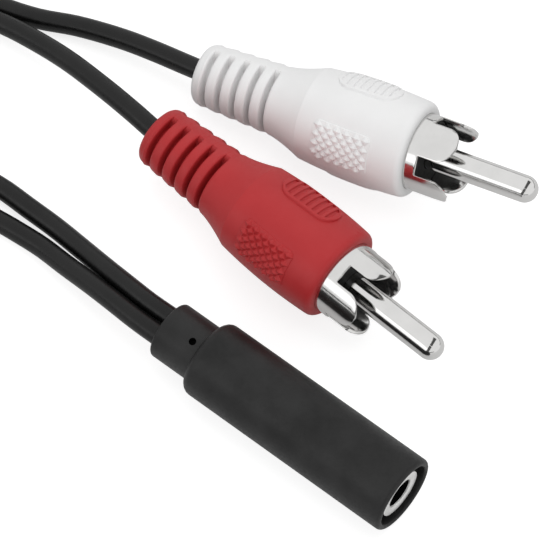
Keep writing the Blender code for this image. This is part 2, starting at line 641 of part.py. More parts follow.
def socket_housing(parent, finish):
    barrel = BARREL_DIAMETER / 2
    collar = COLLAR_DIAMETER / 2
    end = BARREL_LENGTH + COLLAR_LENGTH
    cavity = barrel - BARREL_WALL
    front_wall = RECESS_DEPTH + FRONT_WALL
    bushing_bore = BUSHING_DIAMETER / 2 + FIT_GAP
    outline = [(0.0, RECESS_DIAMETER / 2)]
    outline += arc((-BARREL_FRONT_FILLET, barrel - BARREL_FRONT_FILLET), BARREL_FRONT_FILLET, 0, 90)
    outline += arc((-BARREL_LENGTH + BARREL_REAR_FILLET, barrel - BARREL_REAR_FILLET),
                   BARREL_REAR_FILLET, 90, 180)
    outline += [(-BARREL_LENGTH, collar)]
    outline += arc((-end + COLLAR_FILLET, collar - COLLAR_FILLET), COLLAR_FILLET, 90, 180)
    outline += [(-end, 0.0)]
    inside = [(-CAVITY_END, 0.0), (-CAVITY_END, cavity), (-front_wall, cavity),
              (-front_wall, bushing_bore), (-RECESS_DEPTH, bushing_bore),
              (-RECESS_DEPTH, RECESS_DIAMETER / 2)]
    bar_outline = [(0.0, 0.0)] + outline
    housing = add_object("socket_housing", turned("socket_housing", bar_outline, OUTER_STEPS),
                         parent, finish)
    hollow_outline = inside + [(RECESS_DEPTH, RECESS_DIAMETER / 2), (RECESS_DEPTH, 0.0)]
    hollow = helper("socket_hollow", turned("socket_hollow", hollow_outline, OUTER_STEPS), parent)
    combine(housing, hollow)
    bore = CORD_DIAMETER / 2 + FIT_GAP
    for side, place in (("left", -CORD_SPACING / 2), ("right", CORD_SPACING / 2)):
        bar = [(-end - bore, 0.0), (-end - bore, bore), (-CAVITY_END + bore, bore),
               (-CAVITY_END + bore, 0.0)]
        name = side + "_cord_bore"
        cutter = helper(name, turned(name, bar, INNER_STEPS), parent)
        cutter.location.y = place
        combine(housing, cutter)
    hole = MARK_DIAMETER / 2
    bottom = collar - MARK_DEPTH
    bar = [(bottom, 0.0), (bottom, hole), (collar + hole, hole), (collar + hole, 0.0)]
    cutter = helper("collar_mark", turned("collar_mark", bar, CORE_STEPS), parent)
    cutter.rotation_mode = "YXZ"
    cutter.rotation_euler = (MARK_ANGLE, -math.pi / 2, 0.0)
    cutter.location.x = -BARREL_LENGTH - MARK_STATION
    combine(housing, cutter)
    return housing


def socket_bushing(parent, finish):
    outer = BUSHING_DIAMETER / 2
    bore = BUSHING_BORE / 2
    flange = BUSHING_FLANGE_DIAMETER / 2
    tail = BUSHING_TAIL_DIAMETER / 2
    start = RECESS_DEPTH
    flange_start = RECESS_DEPTH + FRONT_WALL + FIT_GAP
    flange_end = flange_start + BUSHING_FLANGE_LENGTH
    end = start + BUSHING_LENGTH
    outline = [(-start - BUSHING_LEAD, bore), (-start, bore + BUSHING_LEAD), (-start, outer),
               (-flange_start, outer), (-flange_start, flange), (-flange_end, flange),
               (-flange_end, tail), (-end, tail), (-end, bore)]
    return add_object("socket_bushing", turned("socket_bushing", outline, FINE_STEPS), parent, finish)


def lug_start():
    """Distance behind the socket's front face at which the sleeve lug's washer starts."""
    return RECESS_DEPTH + FRONT_WALL + FIT_GAP + BUSHING_FLANGE_LENGTH + FIT_GAP


def contact_frame(parent, finish):
    outer = BARREL_DIAMETER / 2 - BARREL_WALL - FIT_GAP
    start = lug_start() + LUG_THICKNESS + FIT_GAP
    counterbore = BUSHING_TAIL_DIAMETER / 2 + FIT_GAP
    counterbore_end = RECESS_DEPTH + BUSHING_LENGTH + FIT_GAP
    bore = BUSHING_BORE / 2
    outline = [(-FRAME_END, 0.0), (-FRAME_END, outer), (-start, outer), (-start, counterbore),
               (-counterbore_end, counterbore), (-counterbore_end, bore), (-FRAME_BORE_END, bore),
               (-FRAME_BORE_END, 0.0)]
    mesh = turned("contact_frame", outline, INNER_STEPS)
    frame = add_object("contact_frame", mesh, parent, finish)
    half = SPRING_WIDTH / 2 + 1.5 * FIT_GAP
    slot_low = CONTACT_HEIGHT - SPRING_THICKNESS - 1.5 * FIT_GAP
    reach = BARREL_DIAMETER / 2
    beyond = FRAME_END + reach
    tip_front = TIP_CONTACT - WINDOW_LEAD
    ring_front = RING_CONTACT - WINDOW_LEAD
    slots = (
        ("tip_slot", (-beyond, -half, slot_low), (-tip_front, half, reach)),
        ("ring_slot", (-beyond, -half, -reach), (-ring_front, half, -slot_low)),
        ("lug_slot", (-beyond, lug_side() - LUG_THICKNESS / 2 - FIT_GAP, -LUG_WIDTH / 2 - FIT_GAP),
         (-start + reach, reach, LUG_WIDTH / 2 + FIT_GAP)),
    )
    for name, low, high in slots:
        combine(frame, helper(name, block(name, low, high), parent))
    return frame


def lug_side():
    """Distance of the sleeve lug's tongue from the axis."""
    return BARREL_DIAMETER / 2 - BARREL_WALL - FIT_GAP - LUG_THICKNESS


def bent_strip(name, path, width, thickness, parent, finish):
    """Leaf spring: a strip of sheet that follows a path in the XZ plane."""
    bm = bmesh.new()
    rings = []
    count = len(path)
    for i, (x, z) in enumerate(path):
        before = path[max(i - 1, 0)]
        after = path[min(i + 1, count - 1)]
        along = Vector((after[0] - before[0], 0.0, after[1] - before[1])).normalized()
        normal = Vector((-along.z, 0.0, along.x)) * (thickness / 2)
        centre = Vector((x, 0.0, z))
        side = Vector((0.0, width / 2, 0.0))
        corners = (centre + normal + side, centre + normal - side, centre - normal - side,
                   centre - normal + side)
        rings.append([bm.verts.new(corner) for corner in corners])
    for first, second in zip(rings, rings[1:]):
        for i in range(4):
            j = (i + 1) % 4
            bm.faces.new((first[i], first[j], second[j], second[i]))
    bm.faces.new(rings[0])
    bm.faces.new(rings[-1])
    return add_object(name, mesh_from(bm, name), parent, finish)


def contact_springs(parent, finish):
    for name, contact, side in (("tip_spring", TIP_CONTACT, 1), ("ring_spring", RING_CONTACT, -1)):
        rise = SPRING_HEIGHT - CONTACT_HEIGHT
        path = [(-LUG_END, SPRING_HEIGHT), (-contact - SPRING_BEND, SPRING_HEIGHT),
                (-contact - rise / 3, CONTACT_HEIGHT + rise / 3), (-contact, CONTACT_HEIGHT),
                (-contact + rise / 2, CONTACT_HEIGHT + rise / 3),
                (-contact + rise * SPRING_TOE[0], CONTACT_HEIGHT + rise * SPRING_TOE[1])]
        path = [(x, side * z) for x, z in path]
        bent_strip(name, path, SPRING_WIDTH, SPRING_THICKNESS, parent, finish)


def sleeve_lug(parent, finish):
    start = lug_start()
    end = start + LUG_THICKNESS
    inner = BUSHING_TAIL_DIAMETER / 2 + FIT_GAP
    outer = BUSHING_FLANGE_DIAMETER / 2
    ring = [(-start, inner), (-start, outer), (-end, outer), (-end, inner)]
    lug = add_object("sleeve_lug", turned("sleeve_lug", ring, INNER_STEPS), parent, finish)
    low = (-LUG_END, lug_side() - LUG_THICKNESS / 2, -LUG_WIDTH / 2)
    high = (-start - LUG_THICKNESS / 4, lug_side() + LUG_THICKNESS / 2, LUG_WIDTH / 2)
    tongue = helper("sleeve_lug_tongue", block("sleeve_lug_tongue", low, high), parent)
    combine(lug, tongue, "UNION")
    return lug


def socket_wiring(parent, copper, dielectric):
    """Each cord's core goes to a spring and its screen to the sleeve lug."""
    bared = SOCKET_CORD_END - FIT_GAP
    joint = LUG_END - JOINT_SETBACK
    joint_height = SPRING_HEIGHT - SPRING_THICKNESS / 2 - FIT_GAP - WIRE_DIAMETER / 2
    core_end = bared - SOCKET_CORE_BARED
    bore = WIRE_DIAMETER / 2 + FIT_GAP / 2
    beside = CORE_DIAMETER / 2 + SCREEN_DIAMETER / 2 + FIT_GAP / 2
    lug_face = lug_side() - LUG_THICKNESS / 2 - FIT_GAP - SCREEN_DIAMETER / 2
    for side, sign in (("left", -1), ("right", 1)):
        place = sign * CORD_SPACING / 2
        rise = -sign
        outline = [(-core_end, bore), (-core_end, CORE_DIAMETER / 2), (-bared, CORE_DIAMETER / 2),
                   (-bared, bore)]
        name = f"socket_{side}_insulation"
        insulation = add_object(name, turned(name, outline, CORE_STEPS), parent, dielectric)
        insulation.location.y = place
        wire = [(-bared, place, 0.0), (-core_end, place, 0.0)]
        stops = (-core_end + SOCKET_CORE_BARED, -joint - SOCKET_CORE_BARED, -joint)
        for stop, (aside, up) in zip(stops, WIRE_BENDS):
            wire.append((stop, place * aside, rise * joint_height * up))
        tube(f"socket_{side}_wire", wire, WIRE_DIAMETER, parent, copper)
        tail = [Vector((-bared, place, sign * beside))]
        tail += [Vector(point) * MM + Vector((-bared, 0.0, 0.0)) for point in SOCKET_TAILS[side]]
        tail.append(Vector((-joint, lug_face, -sign * TAIL_SPACING / 2)))
        tube(f"socket_{side}_screen_tail", tail, SCREEN_DIAMETER, parent, copper)


def place_empty(name, place, height, heading, pitch=0.0, roll=0.0):
    made = bpy.data.objects.new(name, None)
    bpy.context.scene.collection.objects.link(made)
    made.location = Vector((place[0], place[1], height)) + LAYOUT_SHIFT
    made.rotation_euler = (roll, -pitch, -heading)
    return made


def resting_pitch():
    """Angle at which a plug lies on its shoulder's edge and on the end of its relief."""
    length = BODY_LENGTH + SHOULDER_LENGTH + RELIEF_LENGTH - RELIEF_END_FILLET
    drop = body_radius(BODY_LENGTH) - RELIEF_END_DIAMETER / 2
    return math.atan(drop / (length - BODY_LENGTH))


def pad_rest_height():
    """Height of the axis of a plug that lies on the edge of a ribbed pad."""
    reach = BODY_DIAMETER / 2 + PAD_RISE
    edge = math.asin(RIB_PAD_WIDTH / 2 / reach)
    return reach * math.cos(abs(PLUG_ROLL) - edge)


def build():
    clear_scene()
    finishes = {
        "nickel": material("nickel", (0.75, 0.74, 0.72), 0.12, 1.0),
        "insulator": material("insulator_black", (0.02, 0.02, 0.02), 0.45),
        "mould": material("inner_mould_white", (0.75, 0.75, 0.72), 0.5),
        "copper": material("copper", (0.80, 0.36, 0.20), 0.3, 1.0),
        "dielectric": material("dielectric", (0.80, 0.78, 0.70), 0.5),
    }
    white = material("white_pvc", (0.80, 0.80, 0.80), 0.45)
    red = material("red_pvc", (0.42, 0.035, 0.04), 0.45)
    black = material("black_pvc", (0.03, 0.03, 0.03), 0.4)
    cord_black = material("cord_black", (0.018, 0.018, 0.018), 0.35)

    pitch = resting_pitch()
    lift = body_radius(BODY_LENGTH) * math.cos(pitch) + BODY_LENGTH * math.sin(pitch)
    left = place_empty("left_plug", LEFT_PLUG_PLACE, lift, LEFT_PLUG_HEADING, pitch, PLUG_ROLL)
    right = place_empty("right_plug", RIGHT_PLUG_PLACE, pad_rest_height(), RIGHT_PLUG_HEADING, 0.0,
                        PLUG_ROLL)
    socket = place_empty("socket", SOCKET_PLACE, BARREL_DIAMETER / 2, SOCKET_HEADING)

    build_plug("left", left, LEFT_SHELL_TURN, white, finishes)
    build_plug("right", right, RIGHT_SHELL_TURN, red, finishes)

    socket_housing(socket, black)
    socket_bushing(socket, finishes["nickel"])
    contact_frame(socket, finishes["insulator"])
    contact_springs(socket, finishes["nickel"])
    sleeve_lug(socket, finishes["nickel"])
    socket_wiring(socket, finishes["copper"], finishes["dielectric"])

    for name, route in (("left_cord", LEFT_CORD_ROUTE), ("right_cord", RIGHT_CORD_ROUTE)):
        tube(name, smooth_route(route, CORD_POINT_SPACING), CORD_DIAMETER, None, cord_black)


build()
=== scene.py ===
"""Adapter cable as photographed: an in-line jack socket, two round cords and two phono plugs.

Lengths are in metres. Each connector is shaped along +X with the middle of its front face at the
origin, and is then turned and moved to its place on the cable.
"""
import math

import bmesh
import bpy
from mathutils import Matrix, Vector


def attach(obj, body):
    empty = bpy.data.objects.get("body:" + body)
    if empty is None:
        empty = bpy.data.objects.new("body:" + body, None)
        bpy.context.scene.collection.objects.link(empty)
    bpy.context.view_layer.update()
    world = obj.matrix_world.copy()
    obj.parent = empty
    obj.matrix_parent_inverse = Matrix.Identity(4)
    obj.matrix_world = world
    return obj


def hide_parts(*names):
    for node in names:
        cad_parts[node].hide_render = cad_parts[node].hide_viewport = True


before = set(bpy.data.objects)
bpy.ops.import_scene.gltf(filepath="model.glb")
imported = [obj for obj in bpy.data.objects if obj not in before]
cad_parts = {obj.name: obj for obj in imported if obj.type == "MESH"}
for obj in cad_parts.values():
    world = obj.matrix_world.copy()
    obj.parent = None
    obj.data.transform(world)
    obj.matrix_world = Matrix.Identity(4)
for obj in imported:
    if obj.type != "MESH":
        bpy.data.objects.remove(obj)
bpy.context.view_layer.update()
bpy.ops.object.select_all(action="DESELECT")

MM = 0.001

# The radius that stands for a point on the axis, and how near to each other points are one
POINT = 0.002 * MM
MERGE = 0.01 * MM

# The camera stands off from the shifted origin, and looks down at it
CAMERA_PLACE = Vector((0.0, -0.26665, 0.48104))
CAMERA_TILT = math.radians(29.0)
CAMERA_LENS = 319.5

# Places of the connectors: middle of the front face in millimetres, and heading from +X towards -Y
LAYOUT_SHIFT = Vector((-7.697, 3.683, 0.0)) * MM
LEFT_PLUG_PLACE = (17.2, 11.52)
LEFT_PLUG_HEADING = math.radians(27.1)
LEFT_SHELL_TURN = math.radians(83.4)
RIGHT_PLUG_PLACE = (8.1, -4.284)
RIGHT_PLUG_HEADING = math.radians(41.9)
RIGHT_SHELL_TURN = math.radians(48.8)
PIN_HEADING = (LEFT_PLUG_HEADING + RIGHT_PLUG_HEADING) / 2
PLUG_ROLL = math.radians(-31.0)
SOCKET_PLACE = (14.5, -31.0)
SOCKET_HEADING = math.radians(38.65)
SOCKET_LEAD = 0.45 * MM

# Clearances on a radius, from loose to close
FIT_GAP = 0.2 * MM
CLOSE_GAP = 0.03 * MM
CORD_GAP = 0.02 * MM

# Phono plug moulding
BODY_DIAMETER = 12.0 * MM
BODY_LENGTH = 13.5 * MM
CROWN_STATION = 6.0 * MM
CROWN_RADIUS = 65.0 * MM
FRONT_FILLET = 0.8 * MM
SHOULDER_LENGTH = 4.5 * MM
NECK_DIAMETER = 8.35 * MM
RELIEF_LENGTH = 10.3 * MM
RELIEF_END_DIAMETER = 7.4 * MM
RELIEF_END_FILLET = 0.9 * MM
RELIEF_CORE_DIAMETER = 4.3 * MM
SLOT_COUNT = 5
SLOT_PITCH = 1.98 * MM
SLOT_WIDTH = 0.70 * MM
SLOT_LIP = 0.28 * MM
SLOT_END_COLLAR = 1.4 * MM
BAY_START = 2.7 * MM
BAY_RADIUS = 4.4 * MM
BAY_TAPER_START = 11.2 * MM
BAY_END = 16.9 * MM
BAY_END_RADIUS = 2.8 * MM
BORE_LEAD_WIDTH = 0.15 * MM
BORE_LEAD_LENGTH = 0.12 * MM
SKIN_STEPS = 128

# The slots' spine: from and to what angle, and how much of the slot's depth it fills there
SPINE_FILLS = (
    (-16.0, -13.0, 0.55), (-13.0, -11.0, 0.88), (-11.0, 17.0, 1.0),
    (17.0, 20.0, 0.88), (20.0, 23.0, 0.55),
)

# Grip pads, which stand out of the plug's body
PAD_RISE = 0.30 * MM
PAD_ROOT = 0.95 * MM
RIB_PAD_START = 3.3 * MM
RIB_PAD_LENGTH = 7.9 * MM
RIB_PAD_WIDTH = 4.0 * MM
RIB_PAD_RIM = 0.32 * MM
RIB_COUNT = 9
GROOVE_RADIUS = 0.24 * MM
GROOVE_DEPTH = 0.22 * MM
KNURL_PAD_START = 4.0 * MM
KNURL_PAD_LENGTH = 7.3 * MM
KNURL_PAD_WIDTH = 5.0 * MM
KNURL_PAD_CORNER = 0.7 * MM
KNURL_BED_RISE = 0.10 * MM
KNURL_RISE = 0.42 * MM
KNURL_ROWS = 11
KNURL_COLUMNS = 8
KNURL_STEP_ALONG = 0.605 * MM
KNURL_STEP_ROUND = 0.56 * MM
PYRAMID_FOOT_SHARE = 1.20
PYRAMID_TOP_SHARE = 0.24

# Metal and insulator
PIN_DIAMETER = 3.2 * MM
PIN_REACH = 14.9 * MM
PIN_FLANGE_START = 3.4 * MM
PIN_FLANGE_END = 4.0 * MM
PIN_FLANGE_RADIUS = 2.1 * MM
CUP_END = 7.2 * MM
CUP_RADIUS = 1.2 * MM
CUP_BORE_RADIUS = 0.55 * MM
CUP_FLOOR = 4.7 * MM
SHELL_DIAMETER = 9.2 * MM
SHELL_WALL = 0.4 * MM
SHELL_REACH = 5.4 * MM
SHELL_SEAT = 2.5 * MM
SHELL_HOLE_RADIUS = 2.6 * MM
SHELL_TIP_TAPER = 0.12 * MM
SHELL_TIP_TAPER_LENGTH = 0.9 * MM
SHELL_SLOT_WIDTH = 2.4 * MM
SHELL_SLOT_BASE = 1.45 * MM
FINGER_TIP_LENGTH = 1.9 * MM
INSULATOR_REACH = 1.35 * MM
INSULATOR_BACK = 1.9 * MM
INSULATOR_EASE = 0.12 * MM
BOSS_END = 3.0 * MM
BOSS_RADIUS = 2.4 * MM

# Cords, their routes in millimetres
CORD_DIAMETER = 2.50 * MM
CORD_POINT_SPACING = 1.2 * MM
LEFT_CORD_ROUTE = (
    (-4.90, -17.16, 4.7), (-8.18, -14.53, 4.7), (-12.24, -11.28, 4.7), (-15.16, -8.86, 4.6),
    (-17.88, -6.18, 4.1), (-20.5, -3.5, 3.3), (-23.4, -0.6, 2.3), (-26.1, 2.1, 1.55),
    (-28.7, 4.1, 1.25), (-31.1, 5.7, 1.2), (-35.4, 8.2, 1.2), (-40.5, 10.0, 1.2),
    (-46.5, 10.9, 1.2), (-53.0, 11.1, 1.2), (-60.0, 11.2, 1.2), (-68.0, 12.9, 1.2),
    (-74.4, 17.9, 1.2), (-78.5, 24.6, 1.2), (-79.8, 32.2, 1.2), (-78.2, 39.4, 1.2),
    (-73.8, 45.2, 1.2), (-67.0, 49.0, 1.2), (-59.0, 49.9, 1.2), (-51.2, 48.1, 1.2),
    (-45.5, 44.4, 1.2), (-42.0, 41.4, 1.2), (-39.2, 39.3, 1.2), (-36.0, 37.3, 1.2),
    (-31.9, 34.95, 1.2),
    (-27.4, 33.2, 1.25), (-22.7, 31.95, 1.6), (-17.7, 29.9, 2.25), (-13.6, 27.75, 2.85),
    (-7.88, 24.45, 3.65), (-2.0, 21.34, 4.48), (3.69, 18.43, 5.28),
)
RIGHT_CORD_ROUTE = (
    (-3.28, -15.13, 4.7), (-6.56, -12.50, 4.7), (-10.62, -9.24, 4.7), (-13.59, -6.87, 4.6),
    (-16.2, -4.3, 4.1), (-18.7, -1.65, 3.3), (-21.5, 1.5, 2.2), (-24.6, 4.7, 1.5),
    (-27.9, 7.55, 1.25), (-31.2, 10.25, 1.2), (-35.6, 12.9, 1.2), (-40.6, 14.1, 1.2),
    (-46.4, 14.3, 1.2), (-52.6, 14.0, 1.2), (-59.5, 14.1, 1.2), (-67.0, 15.9, 1.2),
    (-72.6, 20.3, 1.2), (-75.9, 26.0, 1.2), (-77.0, 32.2, 1.2), (-75.5, 38.3, 1.2),
    (-71.8, 43.0, 1.2), (-66.0, 46.1, 1.2), (-59.2, 47.0, 1.2), (-52.4, 45.3, 1.2),
    (-47.4, 41.9, 1.2), (-44.2, 39.0, 1.2), (-40.8, 36.7, 1.25), (-36.8, 34.5, 1.55),
    (-31.85, 32.15, 2.1),
    (-27.9, 29.4, 2.9), (-23.5, 25.6, 4.1), (-18.9, 20.86, 5.35), (-15.6, 17.32, 6.03),
    (-13.04, 14.686, 6.151), (-8.2, 10.336, 6.151), (-3.29, 5.936, 6.151),
)

# Jack socket
BARREL_DIAMETER = 9.4 * MM
BARREL_LENGTH = 28.3 * MM
BARREL_FRONT_FILLET = 0.5 * MM
BARREL_REAR_FILLET = 1.1 * MM
COLLAR_DIAMETER = 7.0 * MM
COLLAR_LENGTH = 5.4 * MM
COLLAR_FILLET = 0.4 * MM
RECESS_DIAMETER = 7.8 * MM
RECESS_DEPTH = 1.5 * MM
FRONT_WALL = 1.8 * MM
BARREL_WALL = 0.6 * MM
CAVITY_END = 25.0 * MM
CORD_SPACING = 2.6 * MM
MARK_DIAMETER = 0.87 * MM
MARK_DEPTH = 0.8 * MM
MARK_STATION = 1.1 * MM
MARK_ANGLE = math.radians(15.0)
BUSHING_DIAMETER = 6.0 * MM
BUSHING_BORE = 3.6 * MM
BUSHING_SETBACK = 0.5 * MM
BUSHING_LENGTH = 8.0 * MM
BUSHING_FLANGE_DIAMETER = 7.2 * MM
BUSHING_FLANGE_LENGTH = 1.0 * MM
BUSHING_TAIL_DIAMETER = 5.6 * MM


# Camera and cords

def place_camera():
    """A long lens from 61 degrees above the surface the cable lies on."""
    bpy.ops.object.camera_add(location=LAYOUT_SHIFT + CAMERA_PLACE, rotation=(CAMERA_TILT, 0.0, 0.0))
    camera = bpy.context.object
    camera.name = "photo_camera"
    camera.data.lens = CAMERA_LENS
    camera.data.sensor_width = 36.0
    camera.data.clip_start = 0.05
    camera.data.clip_end = 20.0
    bpy.context.scene.camera = camera


def smooth_route(route):
    """Evenly spaced points on a Catmull-Rom curve through the route's own points."""
    steps = 24
    marks = [Vector(point) * MM + LAYOUT_SHIFT for point in route]
    padded = [2 * marks[0] - marks[1]] + marks + [2 * marks[-1] - marks[-2]]
    fine = []
    for before, start, end, after in zip(padded, padded[1:], padded[2:], padded[3:]):
        for i in range(steps):
            t = i / steps
            fine.append(0.5 * (2 * start + (end - before) * t
                               + (2 * before - 5 * start + 4 * end - after) * t ** 2
                               + (3 * start - before - 3 * end + after) * t ** 3))
    fine.append(marks[-1])
    travelled = [0.0]
    for start, end in zip(fine, fine[1:]):
        travelled.append(travelled[-1] + (end - start).length)
    count = math.ceil(travelled[-1] / CORD_POINT_SPACING)
    points = []
    place = 0
    for i in range(count):
        wanted = travelled[-1] * i / count
        while travelled[place + 1] < wanted:
            place += 1
        share = (wanted - travelled[place]) / (travelled[place + 1] - travelled[place])
        points.append(fine[place].lerp(fine[place + 1], share))
    points.append(marks[-1])
    return points


def lay_cord(name, node, route, finish):
    curve = bpy.data.curves.new(name, "CURVE")
    curve.dimensions = "3D"
    curve.bevel_depth = CORD_DIAMETER / 2
    curve.bevel_resolution = 6
    curve.use_fill_caps = True
    points = smooth_route(route)
    line = curve.splines.new("POLY")
    line.use_smooth = True
    line.points.add(len(points) - 1)
    for knot, place in zip(line.points, points):
        knot.co = (*place, 1.0)
    curve.materials.append(finish)
    cord = bpy.data.objects.new(name, curve)
    bpy.context.scene.collection.objects.link(cord)
    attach(cord, "root")
    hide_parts(node)


# Finishes

def finish_base(name):
    made = bpy.data.materials.new(name)
    made.use_nodes = True
    nodes = made.node_tree.nodes
    return made, nodes, made.node_tree.links, nodes["Principled BSDF"]


def grain(nodes, links, scale, detail):
    """Noise on the piece's own coordinates."""
    place = nodes.new("ShaderNodeTexCoord")
    noise = nodes.new("ShaderNodeTexNoise")
    noise.inputs["Scale"].default_value = scale
    noise.inputs["Detail"].default_value = detail
    links.new(place.outputs["Object"], noise.inputs["Vector"])
    return noise


def spread(nodes, links, source, low, high):
    """Maps a noise's middle range to the range from low to high."""
    change = nodes.new("ShaderNodeMapRange")
    change.inputs["From Min"].default_value = 0.3
    change.inputs["From Max"].default_value = 0.7
    change.inputs["To Min"].default_value = low
    change.inputs["To Max"].default_value = high
    links.new(source, change.inputs["Value"])
    return change.outputs["Result"]


def shades(nodes, links, source, dark, light):
    """A colour that drifts between two close shades."""
    ramp = nodes.new("ShaderNodeValToRGB")
    ramp.color_ramp.elements[0].position = 0.3
    ramp.color_ramp.elements[0].color = (*dark, 1.0)
    ramp.color_ramp.elements[1].position = 0.7
    ramp.color_ramp.elements[1].color = (*light, 1.0)
    links.new(source, ramp.inputs["Fac"])
    return ramp.outputs["Color"]


def uneven(name, dark, light, rough, skin_scale, skin_height, skin_detail, cloud_scale, cloud_detail):
    """Finish that drifts between two shades, with a fine grain in its skin and its roughness."""
    made, nodes, links, shader = finish_base(name)
    clouds = grain(nodes, links, cloud_scale, cloud_detail)
    links.new(shades(nodes, links, clouds.outputs["Fac"], dark, light), shader.inputs["Base Color"])
    skin = grain(nodes, links, skin_scale, skin_detail)
    links.new(spread(nodes, links, skin.outputs["Fac"], *rough), shader.inputs["Roughness"])
    bump = nodes.new("ShaderNodeBump")
    bump.inputs["Strength"].default_value = 1.0
    bump.inputs["Distance"].default_value = skin_height
    links.new(skin.outputs["Fac"], bump.inputs["Height"])
    links.new(bump.outputs["Normal"], shader.inputs["Normal"])
    return made, shader


def pvc(name, dark, light, rough, skin_scale, skin_height, specular=0.5):
    """Moulded plastic with the grain of its mould."""
    made, shader = uneven(name, dark, light, rough, skin_scale, skin_height, skin_detail=5.0,
                          cloud_scale=260.0, cloud_detail=3.0)
    shader.inputs["Specular IOR Level"].default_value = specular
    return made


def plating(name, dark, light, rough, skin_scale, skin_height):
    """Plated metal, its polish a little uneven."""
    made, shader = uneven(name, dark, light, rough, skin_scale, skin_height, skin_detail=4.0,
                          cloud_scale=500.0, cloud_detail=4.0)
    shader.inputs["Metallic"].default_value = 1.0
    return made


def matte(name, shade):
    """Dull grey that mirrors nothing."""
    made, nodes, links, shader = finish_base(name)
    shader.inputs["Base Color"].default_value = (shade, shade, shade, 1.0)
    shader.inputs["Roughness"].default_value = 0.9
    shader.inputs["Specular IOR Level"].default_value = 0.0
    return made, nodes, links, shader


# Ways of shaping

def pick(piece, test):
    """Selects the points that pass the test, in a piece that is open for editing."""
    mesh = bmesh.from_edit_mesh(piece.data)
    for point in mesh.verts:
        point.select = test(point.co)
    mesh.select_flush_mode()
    bmesh.update_edit_mesh(piece.data)


def choose(*pieces):
    bpy.ops.object.select_all(action="DESELECT")
    for piece in pieces:
        piece.select_set(True)
    bpy.context.view_layer.objects.active = pieces[0]


def turn_profile(name, profile, steps):
    """Turned about X: each ring is drawn out of the one before and brought to its radius. A
    profile that ends where it began has a bore, and a radius of zero closes an end."""
    x, r = profile[0][0], max(profile[0][1], POINT)
    bpy.ops.mesh.primitive_circle_add(vertices=steps, radius=r, fill_type="NOTHING",
                                      location=(x, 0.0, 0.0), rotation=(0.0, math.pi / 2, 0.0))
    piece = bpy.context.object
    piece.name = name
    bpy.ops.object.transform_apply(location=True, rotation=True, scale=True)
    bpy.ops.object.mode_set(mode="EDIT")
    bpy.ops.mesh.select_all(action="SELECT")
    for next_x, next_r in profile[1:]:
        next_r = max(next_r, POINT)
        bpy.ops.mesh.extrude_edges_move(TRANSFORM_OT_translate={"value": (next_x - x, 0.0, 0.0)})
        bpy.ops.transform.resize(value=(1.0, next_r / r, next_r / r),
                                 center_override=(next_x, 0.0, 0.0))
        x, r = next_x, next_r
    bpy.ops.mesh.select_all(action="SELECT")
    bpy.ops.mesh.remove_doubles(threshold=MERGE)
    bpy.ops.mesh.normals_make_consistent(inside=False)
    bpy.ops.object.mode_set(mode="OBJECT")
    return piece


def corner(centre, radius, start, end, steps=5):
    """Points of a round corner in a profile, angles in degrees from +X towards the outside."""
    points = []
    for i in range(steps + 1):
        angle = math.radians(start + (end - start) * i / steps)
        points.append((centre[0] + radius * math.cos(angle), centre[1] + radius * math.sin(angle)))
    return points


def carve(piece, cutter, operation="DIFFERENCE"):
    choose(piece)
    bpy.ops.object.modifier_add(type="BOOLEAN")
    change = piece.modifiers[-1]
    change.operation = operation
    change.solver = "EXACT"
    change.object = cutter
    bpy.ops.object.modifier_apply(modifier=change.name)
    bpy.data.objects.remove(cutter, do_unlink=True)


def soften_edges(piece, width, angle):
    """Rounds the edges that turn by more than the angle, in degrees."""
    choose(piece)
    bpy.ops.object.modifier_add(type="BEVEL")
    change = piece.modifiers[-1]
    change.width = width
    change.segments = 2
    change.limit_method = "ANGLE"
    change.angle_limit = math.radians(angle)
    change.use_clamp_overlap = False
    bpy.ops.object.modifier_apply(modifier=change.name)


def copy_of(piece, name):
    made = piece.copy()
    made.data = piece.data.copy()
    made.name = name
    bpy.context.scene.collection.objects.link(made)
    return made


def merge_pieces(pieces, name):
    choose(*pieces)
    bpy.ops.object.join()
    made = bpy.context.object
    made.name = name
    bpy.ops.object.transform_apply(location=True, rotation=True, scale=True)
    return made


def settle(piece, turn=(0.0, 0.0, 0.0), move=(0.0, 0.0, 0.0)):
    """Turns and moves the piece, and leaves its place in its mesh."""
    piece.rotation_euler = turn
    piece.location = move
    choose(piece)
    bpy.ops.object.transform_apply(location=True, rotation=True, scale=True)


def dress(piece, node, finish=None):
    """Smooths the piece, gives it its finish, if one is named, and puts it in the node's place."""
    choose(piece)
    bpy.ops.object.shade_smooth_by_angle(angle=math.radians(35.0))
    if finish:
        piece.data.materials.clear()
        piece.data.materials.append(finish)
    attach(piece, "root")
    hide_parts(node)


# Phono plug

def body_radius(station):
    return BODY_DIAMETER / 2 - (station - CROWN_STATION) ** 2 / (2 * CROWN_RADIUS)


def relief_radius(station):
    share = (station - BODY_LENGTH - SHOULDER_LENGTH) / RELIEF_LENGTH
    return (NECK_DIAMETER + (RELIEF_END_DIAMETER - NECK_DIAMETER) * share) / 2


def slot_rings():
    """Rings of the relief's slots from the neck to the end, as station, radius and skin radius.
    Each side of a slot goes from its round lip to its round foot."""
    rings = []
    end = BODY_LENGTH + SHOULDER_LENGTH + RELIEF_LENGTH
    core = RELIEF_CORE_DIAMETER / 2
    half = SLOT_WIDTH / 2
    foot = SLOT_LIP / 2
    for number in reversed(range(SLOT_COUNT)):
        middle = end - SLOT_END_COLLAR - half - number * SLOT_PITCH
        skin = relief_radius(middle)
        sides = ((half + SLOT_LIP, skin), (half + SLOT_LIP * 0.45, skin - SLOT_LIP * 0.15),
                 (half + SLOT_LIP * 0.1, skin - SLOT_LIP * 0.5), (half, skin - SLOT_LIP),
                 (half, core + foot), (half - foot, core))
        rings += [(middle - away, radius, skin) for away, radius in sides]
        rings += [(middle + away, radius, skin) for away, radius in reversed(sides)]
    return rings


